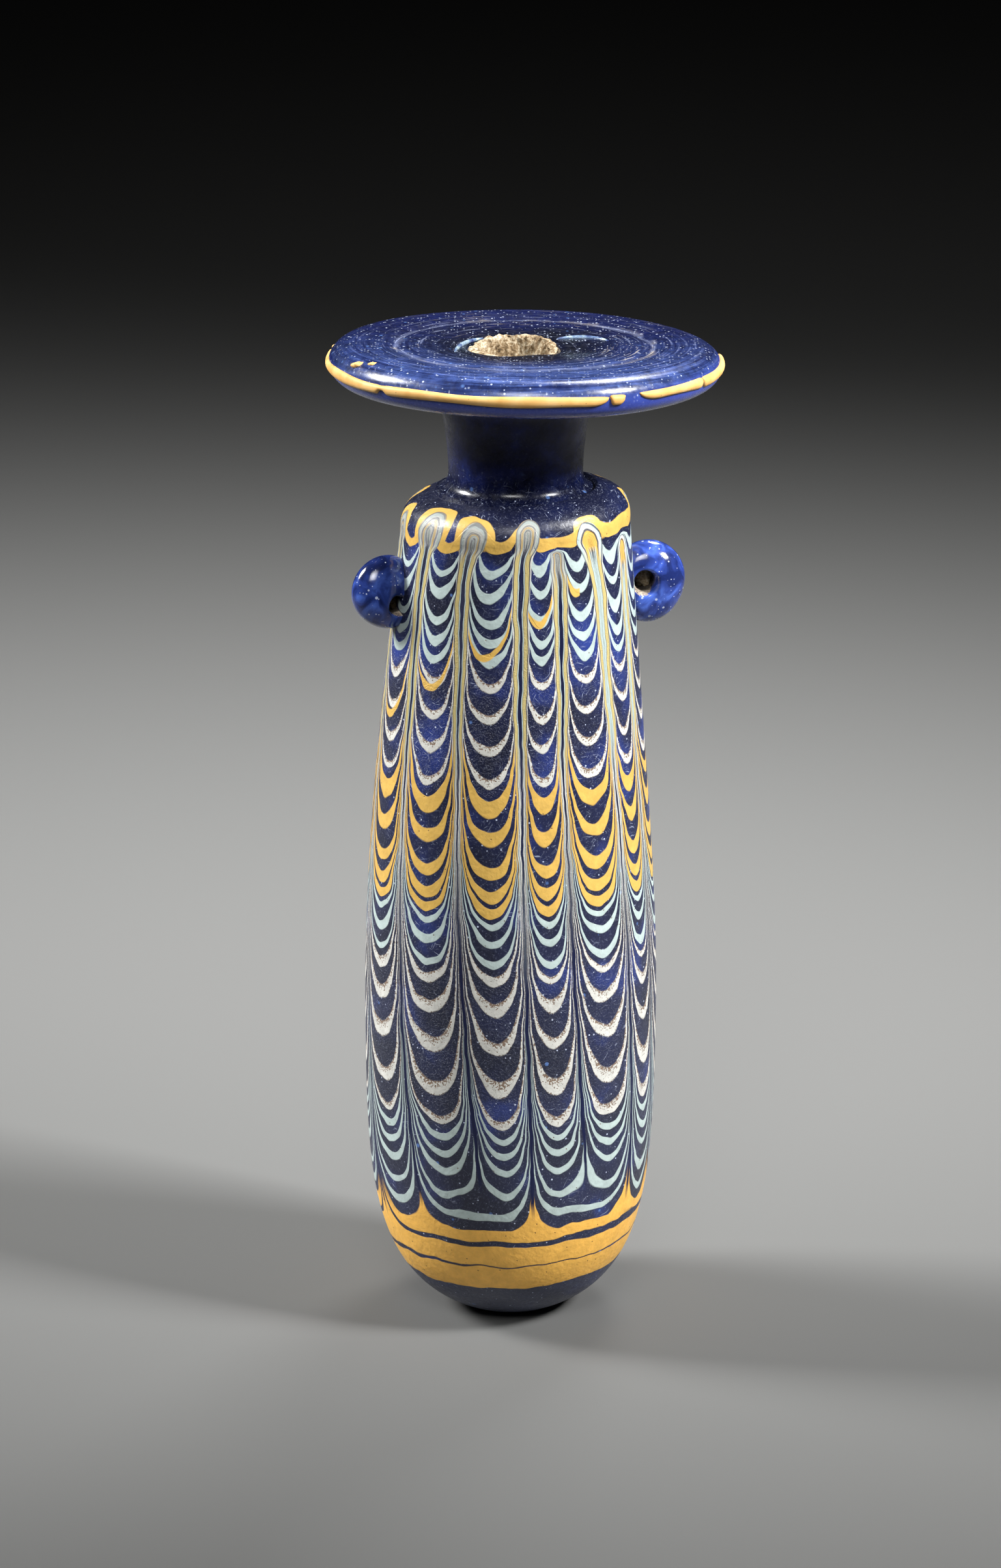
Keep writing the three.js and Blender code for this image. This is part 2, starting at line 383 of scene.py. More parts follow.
UNUSED_INPUTS = [None] * 5  # of a Mix node, between its share and its two colours


def layered(add, under, layers):
    """Lays colours over one another, each by its share. A colour is a hex code or a node's output."""
    for share, over in layers:
        over = linear(over) if isinstance(over, str) else over
        under = add("Mix", share, *UNUSED_INPUTS, under, over, data_type="RGBA", out=2)
    return under


def speck_cells(add, where, cell, lowest, least, biggest):
    """Cells that may each hold one round speck: how far inside it a place is, in cells, and the cell's lots.

    The first lot sets the speck's radius in cells: least up to the lowest lot, then rising to biggest at 1.
    """
    cells = add("TexVoronoi", Vector=where, Scale=1 / cell)
    lots = add("TexVoronoi", Vector=where, Scale=1 / cell, out=1)
    lot = add("SeparateColor", lots)
    size = add("MapRange", lot, lowest, 1.0, least, biggest)
    return add("Math SUBTRACT", size, cells), lots


def cobalt_ground(add, where):
    """Colour of the blue glass: slow clouds, bluer upwards, lighter to the right as painted light, and navy
    on the shoulder.

    A thin grey film lies on it, thicker downwards and most at the foot: partly burial film, partly painted
    light that lightens the lower body and underside where the lamps leave them dark. Over that lie a grey
    grain of
    0.25 mm from burial, bent scratches 1.6 mm long on three slants, pale specks up to 0.3 mm and blue seeds
    up to 0.8 mm.
    """
    clouds = add("TexNoise", Vector=where, Scale=1 / (8 * MM), Detail=4.0)
    # Painted light: the glass is made a little lighter to the right, where the key lamp shines into it.
    side = add("SeparateXYZ", where)
    side = add("MapRange", side, -18 * MM, 18 * MM, 0.0, 0.03)
    level = add("SeparateXYZ", where, out=2)
    bluer = add("MapRange", level, 20 * MM, 90 * MM, -0.08, 0.04)
    clouds = add("Math ADD", clouds, side)
    clouds = add("Math ADD", clouds, bluer)
    high = add("MapRange", level, 105 * MM, 112 * MM, 0.0, 0.85)
    glass = add("ValToRGB", clouds)
    set_stops(glass, [(0.36, COBALT_DEEP), (0.54, COBALT), (0.76, COBALT_BRIGHT)])
    # Painted light, partly a real film: the grey film grows towards the foot and lightens the underside that
    # the lamps from above leave dark.
    foot_film_and_painted_bounce = add("MapRange", level, 10 * MM, 3 * MM, 0.0, 0.3)
    film = add("MapRange", level, 75 * MM, 30 * MM, 0.02, 0.09)
    film = add("Math ADD", film, foot_film_and_painted_bounce)
    grain = add("TexNoise", Vector=where, Scale=1 / (0.25 * MM), Detail=3.0, Roughness=0.7)
    bruise = add("MapRange", grain, 0.57, 0.68, 0.0, 0.42)
    layers = [(film, HAZE), (high, SHOULDER_NAVY), (bruise, HAZE)]
    bend = add("TexNoise", Vector=where, Scale=1 / (4 * MM), out=1)
    bend = add("VectorMath MULTIPLY_ADD", bend, (3 * MM, 3 * MM, 3 * MM), where)
    rubbed = add("MapRange", clouds, 0.44, 0.58, 0.25, 1.0)
    for slant in (35.0, -62.0, -8.0):
        turned = add(
            "Mapping", bend, None, (0.0, math.radians(slant), 0.0), (1.6 * MM, 1.6 * MM, 0.12 * MM),
            vector_type="TEXTURE",
        )
        hairs = add("TexNoise", Vector=turned, Scale=1.0, Detail=1.0)
        hairs = add("MapRange", hairs, 0.7, 0.77, 0.0, 0.5)
        hairs = add("Math MULTIPLY", hairs, rubbed)
        layers.append((hairs, SPECK))
    for cell, biggest, most, code in ((0.6 * MM, 0.24, 0.85, SPECK), (2.4 * MM, 0.17, 0.65, SEED)):
        near, _ = speck_cells(add, where, cell, 0.6, 0.0, biggest)
        speck = add("MapRange", near, 0.0, 0.07, 0.0, most)
        layers.append((speck, code))
    return layered(add, glass, layers)


# Threads as wound, from the bottom up: colour group, then height and thickness of each turn in front.
TURNS = [
    (FOOT_OCHRE, (9.0, 3.9), (12.75, 3.2), (15.9, 1.7)),
    (TURQUOISE, (18.7, 1.0), (21.3, 1.0), (25.0, 1.0), (27.3, 1.0), (29.5, 0.9)),
    (WHITE, (31.5, 1.3), (36.4, 2.2), (42.7, 1.9), (47.8, 1.7), (51.5, 1.2)),
    (TURQUOISE, (53.3, 1.0), (56.5, 1.1), (58.9, 0.8)),
    (OCHRE, (60.5, 1.5), (62.6, 1.5), (65.6, 1.8), (70.3, 1.8), (74.6, 2.2)),
    (WHITE, (77.3, 1.2), (81.6, 1.2), (85.8, 1.2), (90.0, 1.2)),
    (TURQUOISE, (93.2, 1.2), (95.4, 1.2), (98.0, 1.3), (101.8, 1.3), (104.3, 1.2)),
    (OCHRE, (108.5, 2.3)),
]
turn_heights = np.array([turn[0] for group in TURNS for turn in group[1:]])
turn_widths = np.array([turn[1] for group in TURNS for turn in group[1:]])
turn_numbers = np.arange(len(turn_heights))
HEIGHT_SPAN = (-2.0, 114.0)  # range of the curve from height to turn number
NUMBER_SPAN = (-3.0, 32.0)
LAST_PITCH = 4.0  # height of a turn above the last one, mm
GROUP_LEAD = 0.45  # how far below its first turn a colour group starts, in turns
FOOT_END = 2.6  # turn number above the three ochre turns of the foot
DRAG = 2.3  # how strongly a stroke lifts the threads beside it, mm
FLANK = 1.1  # half width of the drawn-out lines at the top of a stroke, mm
FLANK_RUN = 90.0  # length of a stroke over which they reach that width, mm
CORE = 0.28  # half width of the dark line that the tine cut, mm
STRAY_HEIGHT = 95.8  # in front, of an ochre thread that climbs across the turns, mm
STRAY_RISE = 64.0  # what it would climb in a whole turn, mm
STRAY_ENDS = (-0.27, 0.09)  # where it starts and ends, in turns from the front
CAP_GROWTH = 5.0  # length over which a stroke widens into its cap, mm
CAP_THREAD = 0.85  # width of the ochre thread bent over a cap, mm
GLASS_IOR = 1.51

feathered, add = new_material("feather_combed_cobalt_glass")
where = add("TexCoord", out=3)
turn, height_flat, away_flat, half_column, start, end, cap_radius, paleness = [
    add("SeparateXYZ", add("UVMap", uv_map=layer_name), out=side)
    for layer_name in ("wall", "stroke", "span", "cap") for side in (0, 1)
]

shake = add("TexNoise", Vector=where, Scale=1 / (5 * MM), Detail=2.0, out=1)
shake_up, shake_side, shake_width = [add("SeparateColor", shake, out=part) for part in range(3)]
lift = add("MapRange", shake_up, 0.0, 1.0, -0.9, 0.9, clamp=False)
height = add("Math ADD", height_flat, lift)
push = add("MapRange", shake_side, 0.0, 1.0, -0.45, 0.45, clamp=False)
sideways = add("Math ADD", away_flat, push)

past_end = add("Math SUBTRACT", height, end)
past_end = add("Math MAXIMUM", past_end, 0.0)
past_end = add("Math MULTIPLY", past_end, 0.8)
along = add("CombineXYZ", sideways, past_end)
distance = add("VectorMath LENGTH", along, out=1)
reached = add("Math MINIMUM", height, end)
run = add("Math SUBTRACT", reached, start)
run = add("Math MAXIMUM", run, 0.0)
run_share = add("Math MULTIPLY", run, 1 / FLANK_RUN)
run_share = add("Math POWER", run_share, 1.3)
flank = add("Math MULTIPLY_ADD", run_share, FLANK, 0.12)
to_end = add("Math SUBTRACT", end, height)
at_cap = add("MapRange", to_end, CAP_GROWTH, 0.0, 0.0, 1.0, interpolation_type="SMOOTHSTEP")
flank = add("Mix", at_cap, None, flank, cap_radius)
across = add("Math DIVIDE", distance, half_column)
across = add("Math MINIMUM", across, 1.0)
room = add("Math SUBTRACT", 1.0, across)
room = add("Math POWER", room, 1.5)
across = add("Math MAXIMUM", across, 0.004)
drag = add("Math DIVIDE", room, across)
drag = add("Math MULTIPLY", drag, DRAG)
both = add("Math ADD", drag, run)
both = add("Math ADD", both, 1e-5)
product = add("Math MULTIPLY", drag, run)
drawn_up = add("Math DIVIDE", product, both)
wound_height = add("Math SUBTRACT", height, drawn_up)

height_share = add("MapRange", wound_height, *HEIGHT_SPAN, 0.0, 1.0)
number_share = add("FloatCurve", 1.0, height_share)
below = (turn_heights[0] - HEIGHT_SPAN[0]) / (turn_heights[1] - turn_heights[0])
above = (HEIGHT_SPAN[1] - turn_heights[-1]) / LAST_PITCH
curve_heights = np.concatenate([[HEIGHT_SPAN[0]], turn_heights, [HEIGHT_SPAN[1]]])
curve_numbers = np.concatenate([[-below], turn_numbers, [turn_numbers[-1] + above]])
number_places = list(zip(share_of(HEIGHT_SPAN, curve_heights), share_of(NUMBER_SPAN, curve_numbers)))
set_curve(number_share, number_places)
number = add("MapRange", number_share, 0.0, 1.0, *NUMBER_SPAN)
number = add("Math SUBTRACT", number, turn)
whole = add("Math ROUND", number)
off_centre = add("Math SUBTRACT", number, whole)
off_centre = add("Math ABSOLUTE", off_centre)
wound = add("Math ADD", whole, turn)
wound_share = add("MapRange", wound, *NUMBER_SPAN, 0.0, 1.0)
thickness = add("FloatCurve", 1.0, wound_share)
halves = turn_widths / 2 / np.gradient(turn_heights)
UNEVEN = [  # turn number and half thickness, in turns, where a thread swells, thins or ends
    (-0.5, 0.0), (-0.3, 0.38), (-0.12, 0.42), (0.85, 0.41), (1.07, 0.45), (2.2, 0.22), (30.5, 0.3),
    (30.7, 0.0),
]
thread_places = np.array(sorted(list(zip(turn_numbers, halves)) + UNEVEN))
thread_places[:, 0] = share_of(NUMBER_SPAN, thread_places[:, 0])
set_curve(thickness, thread_places)
inside = add("Math SUBTRACT", thickness, off_centre)
on_thread = add("MapRange", inside, -0.02, 0.02, 0.0, 1.0)
thread_colour = add("ValToRGB", wound_share)
white_share = add("ValToRGB", wound_share)
group_starts = np.cumsum([0] + [len(group) - 1 for group in TURNS[:-1]]) - GROUP_LEAD
group_places = share_of(NUMBER_SPAN, group_starts)
group_stops = [(place, group[0]) for place, group in zip(group_places, TURNS)]
set_stops(thread_colour, group_stops, "CONSTANT")
set_stops(white_share, [
    (place, "#ffffff" if code == WHITE else "#000000") for place, code in group_stops
], "CONSTANT")

ground = cobalt_ground(add, where)
grit = add("TexNoise", Vector=where, Scale=1 / (0.24 * MM), Detail=2.0)
upper_side = add("Math SUBTRACT", number, whole)
upper_side = add("Math DIVIDE", upper_side, thickness)
pit_above = add("MapRange", upper_side, -0.5, 0.9, 0.68, 0.41)
pit_below = add("MapRange", upper_side, -0.6, -1.0, 0.72, 0.5)
pit_limit = add("Math MINIMUM", pit_above, pit_below)
pitted = add("Math SUBTRACT", grit, pit_limit)
pitted = add("MapRange", pitted, 0.0, 0.06, 0.0, 0.85)
pitted = add("Math MULTIPLY", pitted, white_share)
bubbles = add("TexVoronoi", Vector=where, Scale=1 / (1.3 * MM))
bubbles = add("MapRange", bubbles, 0.1, 0.06, 0.0, 0.7)
pitted = add("Math MAXIMUM", pitted, bubbles)
shade = add("TexNoise", Vector=where, Scale=1 / (1.6 * MM), Detail=5.0, Roughness=0.65)
shade = add("MapRange", shade, 0.3, 0.7, 0.84, 1.1)
threads = add("VectorMath SCALE", thread_colour, Scale=shade)
threads = layered(add, threads, [(pitted, PIT)])

# The ochre turns of the foot are drawn up only a few millimetres along a stroke.
low_group = add("Math LESS_THAN", wound, FOOT_END)
left_behind = add("MapRange", run, 4.0, 8.0, 0.0, 1.0)
left_behind = add("Math MULTIPLY", left_behind, low_group)

stray_line = add("Math MULTIPLY_ADD", turn, STRAY_RISE, STRAY_HEIGHT)
stray = add("Math SUBTRACT", wound_height, stray_line)
stray = add("Math ABSOLUTE", stray)
stray = add("MapRange", stray, 0.42, 0.55, 1.0, 0.0)
stray_from = add("Math GREATER_THAN", turn, STRAY_ENDS[0])
stray_to = add("Math LESS_THAN", turn, STRAY_ENDS[1])
for limit in (stray_from, stray_to):
    stray = add("Math MULTIPLY", stray, limit)

# Beside the upper strokes the threads are drawn out so far that only bands of their colours are left, in the
# order they were caught: the lowest at the cut, the last ones outside, with dark lines between them.
band_place = add("Math DIVIDE", distance, flank)
band_bend = add("Math POWER", band_place, 0.7)
band_height = add("Math MULTIPLY_ADD", run, band_bend, start)
band_share = add("MapRange", band_height, *HEIGHT_SPAN, 0.0, 1.0)
band_number = add("FloatCurve", 1.0, band_share)
set_curve(band_number, number_places)
band_colour = add("ValToRGB", band_number)
set_stops(band_colour, group_stops, "CONSTANT")
line_place = add("Math MULTIPLY", band_place, 17.0)
line_place = add("Math MULTIPLY_ADD", shake_width, 9.0, line_place)
line = add("Math SINE", line_place)
line = add("MapRange", line, 0.35, 0.75, 0.0, 0.85)
core_width = add("MapRange", at_cap, 0.3, 1.0, 0.14, 0.0)
core = add("Math SUBTRACT", core_width, band_place)
core = add("MapRange", core, -0.02, 0.02, 0.0, 1.0)
# Above the ochre threads their broad band fills most of each flank, next to the line that the tine cut.
uneven_place = add("MapRange", shake_width, 0.2, 0.8, -0.12, 0.12, clamp=False)
uneven_place = add("Math ADD", uneven_place, band_place)
upper_bands = add("ValToRGB", uneven_place)
set_stops(upper_bands, [
    (0.20, COBALT), (0.24, TURQUOISE), (0.33, TURQUOISE), (0.36, COBALT), (0.40, FLANK_OCHRE),
    (0.80, FLANK_OCHRE), (0.84, COBALT), (0.90, COBALT), (0.94, WHITE),
])
pale_middle = add("MapRange", uneven_place, 0.27, 0.23, 0.0, 1.0)
pale_middle = add("Math MULTIPLY", pale_middle, paleness)
upper_bands = layered(add, upper_bands, [(pale_middle, TURQUOISE)])
upper_share = add("MapRange", height, 76.0, 84.0, 0.0, 1.0)
below_cap = add("MapRange", at_cap, 0.1, 0.7, 1.0, 0.0)
upper_share = add("Math MULTIPLY", upper_share, below_cap)
dull = add("Math SUBTRACT", 1.0, paleness)
dull = add("Math MULTIPLY", dull, at_cap)
dull = add("Math MULTIPLY", dull, 0.6)
eye = add("MapRange", band_place, 0.42, 0.36, 0.0, 1.0)
eye_high = add("MapRange", at_cap, 0.55, 0.8, 0.0, 1.0)
eye = add("Math MULTIPLY", eye, eye_high)
eye = add("Math MULTIPLY", eye, paleness)
bands = layered(add, band_colour, [
    (line, ground), (core, COBALT), (upper_share, upper_bands), (dull, CAP_GREY), (eye, OCHRE),
])
bands_inside = add("MapRange", band_place, 0.98, 1.04, 1.0, 0.0)
bands_high = add("MapRange", run, 34.0, 52.0, 0.0, 1.0)
bands_share = add("Math MULTIPLY", bands_inside, bands_high)

# The last ochre thread is bent over the wide caps.
thread_width = add("MapRange", shake_width, 0.3, 0.7, 0.6 * CAP_THREAD, 1.4 * CAP_THREAD)
off_cap = add("Math SUBTRACT", distance, flank)
bent = add("Math SUBTRACT", thread_width, off_cap)
bent = add("MapRange", bent, -0.05, 0.05, 0.0, 1.0)
bent_outside = add("MapRange", off_cap, 0.0, 0.1, 0.0, 1.0)
bent_high = add("MapRange", height, 108.0, 108.6, 0.0, 1.0)
bent_wide = add("Math GREATER_THAN", cap_radius, 1.6)
for limit in (bent_outside, bent_high, bent_wide):
    bent = add("Math MULTIPLY", bent, limit)

cut = add("MapRange", distance, CORE, CORE - 0.1, 0.0, 1.0)
cut_begun = add("MapRange", run, 2.0, 4.5, 0.0, 1.0)
cut = add("Math MULTIPLY", cut, cut_begun)
cut_low = add("Math SUBTRACT", 1.0, bands_high)
cut = add("Math MULTIPLY", cut, cut_low)
colour = layered(add, ground, [
    (on_thread, threads), (left_behind, ground), (stray, OCHRE), (bands_share, bands), (bent, OCHRE),
    (cut, COBALT),
])

fine = add("TexNoise", Vector=where, Scale=1 / (0.6 * MM), Detail=4.0)
roughness = add("MapRange", fine, 0.3, 0.7, 0.3, 0.5)
relief = add("Math MULTIPLY_ADD", on_thread, 0.35, fine)
relief = add("Math MULTIPLY_ADD", pitted, -0.8, relief)
bump = add("Bump", Strength=0.6, Distance=0.1 * MM, Height=relief)
shader = add(
    "BsdfPrincipled", Base_Color=colour, Roughness=roughness, IOR=GLASS_IOR, Normal=bump,
    Specular_IOR_Level=0.4,
)
add("OutputMaterial", shader)
flask.data.materials.append(feathered)

# Cobalt glass without trails, on the neck, the disk and the inside: glossy, blue on the neck and nearly black
# on the disk, where the turning left milky rings of fine scratches and a scuffed ring, and the glass is full
# of specks and seeds. The milky rings are painted stronger towards the front as a painted sheen. At the
# disk's thin round edge a violet glow is painted where light would come through it.
DISK_TOP_TONES = (  # radius and tone
    (6.0, "#060918"), (10.5, "#080c24"), (14.0, "#0b1134"), (20.0, "#0c133a"), (24.0, "#0c133a"),
)
NECK_TONES = ("#11163a", "#1f2862", "#344cac")
PAINTED_EDGE_GLOW = "#3c4eb0"
SCUFF = "#8a93b4"
MILK_AND_SHEEN = "#5973bc"
RING_RADIUS = 16.4  # of the scuffed ring
SCRATCH_WIDTH = 0.32  # across a ring of scratches, mm
SCRATCH_CHANGE = 2.4  # how fast a ring changes as it runs round

plain, add = new_material("turned_cobalt_glass")
where = add("TexCoord", out=3)
from_disk = add("VectorMath SUBTRACT", where, (DISK_OFFSET * MM, 0.0, 0.0))
flat = add("VectorMath MULTIPLY", from_disk, (1.0, 1.0, 0.0))
from_axis = add("VectorMath LENGTH", flat, out=1)
from_axis = add("Math MULTIPLY", from_axis, 1 / MM)
level = add("SeparateXYZ", where, out=2)
level = add("Math MULTIPLY", level, 1 / MM)

clouds = add("TexNoise", Vector=where, Scale=1 / (7 * MM), Detail=5.0, Roughness=0.6)
wander = add("MapRange", clouds, 0.3, 0.7, -3.0, 3.0, clamp=False)
tone_radius = add("Math ADD", from_axis, wander)
tone_radius = add("MapRange", tone_radius, 0.0, DISK_RADIUS, 0.0, 1.0)
top_tone = add("ValToRGB", tone_radius)
set_stops(top_tone, [(place / DISK_RADIUS, code) for place, code in DISK_TOP_TONES])
neck_tone = add("ValToRGB", clouds)
set_stops(neck_tone, [(place, code) for place, code in zip((0.35, 0.55, 0.78), NECK_TONES)])
shoulder_glass = cobalt_ground(add, where)
near_root = add("MapRange", level, 113.0, 116.5, 1.0, 0.0)
on_disk = add("MapRange", level, 126.5, 128.0, 0.0, 1.0)

# Rings of scratches: noise that is stretched round the disk and fine across it.
bearing = add("VectorMath NORMALIZE", flat)
bearing = add("VectorMath MULTIPLY", bearing, (SCRATCH_CHANGE, SCRATCH_CHANGE, 0.0))
across_ring = add("CombineXYZ", None, None, from_axis)
ring_place = add("VectorMath MULTIPLY", across_ring, (0.0, 0.0, 1 / SCRATCH_WIDTH))
ring_place = add("VectorMath ADD", ring_place, bearing)
scratches = add("TexNoise", Vector=ring_place, Scale=1.0, Detail=3.0, Roughness=0.6)
scratched = add("MapRange", scratches, 0.58, 0.7, 0.0, 0.6)
# Painted sheen: the milky rings grow towards the front of the disk, standing in for a soft reflection there.
milky_and_sheen = add("MapRange", scratches, 0.35, 0.7, 0.04, 0.5)
sheen_toward_front = add("SeparateXYZ", where, out=1)
sheen_toward_front = add("MapRange", sheen_toward_front, 8 * MM, -19 * MM, 0.0, 1.0)
off_mouth = add("MapRange", from_axis, 9.0, 15.0, 0.0, 1.0)
for limit in (sheen_toward_front, off_mouth, on_disk):
    milky_and_sheen = add("Math MULTIPLY", milky_and_sheen, limit)
colour = layered(add, neck_tone, [(near_root, shoulder_glass), (on_disk, top_tone), (milky_and_sheen, MILK_AND_SHEEN)])
mottle = add("TexNoise", Vector=where, Scale=1 / (1.5 * MM), Detail=4.0, Roughness=0.65)
mottle = add("MapRange", mottle, 0.3, 0.7, 0.55, 1.5)
colour = add("VectorMath SCALE", colour, Scale=mottle)
ring_zone = add("MapRange", from_axis, 9.0, 14.0, 0.25, 1.0)
ring_fade = add("MapRange", from_axis, 17.0, 20.0, 1.0, 0.25)
for limit in (ring_zone, ring_fade):
    scratched = add("Math MULTIPLY", scratched, limit)
scuff_radius = add("Math MULTIPLY_ADD", wander, 0.35, RING_RADIUS)
scuff = add("Math SUBTRACT", from_axis, scuff_radius)
scuff = add("Math ABSOLUTE", scuff)
scuff = add("MapRange", scuff, 0.7, 0.05, 0.0, 0.5)
scuff = add("Math MULTIPLY", scuff, scratches)
scratched = add("Math ADD", scratched, scuff)
scratched = add("Math MULTIPLY", scratched, on_disk)
scuff_tone = add("ValToRGB", clouds)
set_stops(scuff_tone, [(0.5, SCUFF), (0.6, "#b3a894")])
layers = [(scratched, scuff_tone)]

# Specks up to 0.5 mm and blue seeds up to 0.8 mm, plain on the disk and faint on the neck.
SPECK_LOT = 0.7  # the lowest lot that holds a speck
for cell, least, biggest, shares, code in (
    (0.4 * MM, 0.16, 0.42, (0.12, 0.8), SPECK), (0.9 * MM, 0.08, 0.26, (0.1, 0.85), SPECK),
    (1.5 * MM, 0.04, 0.26, (0.3, 0.8), SEED),
):
    near, lots = speck_cells(add, where, cell, SPECK_LOT, least, biggest)
    lot = add("SeparateColor", lots)
    there = add("Math GREATER_THAN", lot, SPECK_LOT)
    most = add("MapRange", on_disk, 0.0, 1.0, *shares)
    clearness = add("SeparateColor", lots, out=1)
    clearness = add("MapRange", clearness, 0.0, 1.0, 0.2, 1.0)
    speck = add("MapRange", near, 0.0, 0.12, 0.0, 1.0)
    for limit in (clearness, there, most):
        speck = add("Math MULTIPLY", speck, limit)
    layers.append((speck, code))

# Painted light: a violet glow on the thin edge's lower half, where light would shine through the glass.
thin = add("MapRange", from_axis, DISK_RADIUS - DISK_EDGE, DISK_RADIUS - 0.6, 0.0, 1.0)
below_top = add("MapRange", level, DISK_MIDDLE + 1.6, DISK_MIDDLE - 0.5, 0.0, 0.85)
through = add("Math MULTIPLY", thin, below_top)
colour = layered(add, colour, layers + [(through, PAINTED_EDGE_GLOW)])

fine = add("TexNoise", Vector=where, Scale=1 / (0.7 * MM), Detail=4.0)
roughness = add("MapRange", fine, 0.3, 0.7, 0.18, 0.34)
relief = add("Math MULTIPLY_ADD", scratches, 0.5, fine)
folds = add("TexNoise", Vector=where, Scale=1 / (4 * MM), Detail=1.0)
on_neck = add("Math SUBTRACT", 1.0, on_disk)
folds = add("Math MULTIPLY", folds, on_neck)
relief = add("Math MULTIPLY_ADD", folds, 9.0, relief)
bump = add("Bump", Strength=0.35, Distance=0.05 * MM, Height=relief)
shader = add(
    "BsdfPrincipled", Base_Color=colour, Roughness=roughness, IOR=GLASS_IOR, Normal=bump, Coat_Weight=0.15,
    Coat_Roughness=0.1,
)
add("OutputMaterial", shader)
flask.data.materials.append(plain)
face_rows = np.concatenate([low_row, np.zeros(AROUND, int), np.full(AROUND, row_count)])
flask.data.polygons.foreach_set("material_index", (face_rows >= BODY_ROWS - 1).astype(np.int32))
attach(flask, "root")
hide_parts("alabastron")

# The lugs: two beads of cobalt glass, dropped hot on the shoulder and pierced along the wall for a cord.
# Each is an oval section swung round a hole that sits off the middle, its inner side fused to the wall.
# A row of LUGS gives name, azimuth and twist in degrees, distance from the axis, height, half the width and
# height of the bead, the hole's radius, and how far the hole lies outward and upward of the bead's middle.
LUGS = (
    ("lug_right", 8.0, 0.0, 17.4, 99.1, 4.8, 5.5, 1.3, -0.75, 0.4),
    ("lug_left", 195.0, 11.0, 17.2, 99.5, 4.5, 4.85, 1.0, -0.6, -1.5),
)
LUG_HALF = 2.9  # half its thickness along the wall
LUG_HOLE_EDGE = 0.16  # share of the section that rounds into the hole
LUG_AXIS_SHIFT = 0.56
SWING_STEPS, SECTION_STEPS = 72, 48


def lug_surface(swing, section, wide, tall, hole, hole_out, hole_up):
    """A bead swung round a hole that lies at (hole_out, hole_up) from its middle.

    The section spans from the hole to the bead's oval outline, found along each direction by solving the
    oval's equation for the distance from the hole. Across the bead it is a quarter of an oval on each side,
    fullest at the hole, with the hole's edge rounded.
    """
    across, upward = np.cos(swing), np.sin(swing)
    square = (across / wide) ** 2 + (upward / tall) ** 2
    mixed = hole_out * across / wide**2 + hole_up * upward / tall**2
    rest = (hole_out / wide) ** 2 + (hole_up / tall) ** 2 - 1
    outer = (np.sqrt(mixed**2 - square * rest) - mixed) / square + 0.1 * np.sin(3 * swing + 0.5)
    share = (1 + np.cos(section)) / 2
    reach = hole + (outer - hole) * share
    rounding = np.sqrt(1 - (1 - np.clip(share / LUG_HOLE_EDGE, 0.0, 1.0)) ** 2)
    along = LUG_HALF * np.sign(np.sin(section)) * np.sqrt(np.maximum(1 - share**2, 0.0)) * rounding
    along = along * (1 + 0.06 * np.sin(2 * swing + 1.0))
    return np.stack([hole_out + reach * across, along, hole_up + reach * upward], -1)


swing = once_round(SWING_STEPS)[:, None]
section = once_round(SECTION_STEPS)[None, :]
bead_rows = np.repeat(np.arange(SWING_STEPS), SECTION_STEPS)[:, None] + np.array([0, 0, 1, 1])
bead_columns = np.tile(np.arange(SECTION_STEPS), SWING_STEPS)[:, None] + np.array([0, 1, 1, 0])
lugs = []
for name, azimuth, twist, place, height_of, wide, tall, hole, hole_out, hole_up in LUGS:
    local = lug_surface(swing, section, wide, tall, hole, hole_out, hole_up)
    twisted, facing = math.radians(azimuth + twist), math.radians(azimuth)
    outward, along, upward = local[..., 0], local[..., 1], local[..., 2]
    lug_rings = np.stack([
        outward * math.cos(twisted) - along * math.sin(twisted) + place * math.cos(facing) + LUG_AXIS_SHIFT,
        outward * math.sin(twisted) + along * math.cos(twisted) + place * math.sin(facing),
        upward + height_of,
    ], -1)
    lug = skin(name, lug_rings)
    layer = lug.data.uv_layers.new(name="bead")  # swing round the hole and turn of the section, 0 to 1
    values = np.stack([bead_rows / SWING_STEPS, bead_columns / SECTION_STEPS], -1)
    layer.data.foreach_set("uv", values.astype(np.float32).ravel())
    lugs.append(lug)

# Cobalt glass drawn into beads: deep and glossy, brighter in swirls, full of pale specks. The right lug is
# painted brighter, partly paler weathering and partly painted light from the lamp on its side. Sandy dirt
# sits on the hole's lower inner edge, and the hole's wall is painted near black as painted shade.
SAND = "#a8977c"
HOLE_SHADE = "#17110c"
bead_glass, add = new_material("dropped_cobalt_glass_bead")
where = add("TexCoord", out=3)
swirl = add("TexNoise", Vector=where, Scale=1 / (3 * MM), Detail=4.0, Distortion=1.2)
glow = add("ValToRGB", swirl)
set_stops(glow, [(0.34, "#16204c"), (0.52, "#293b80"), (0.72, "#4865ba")])
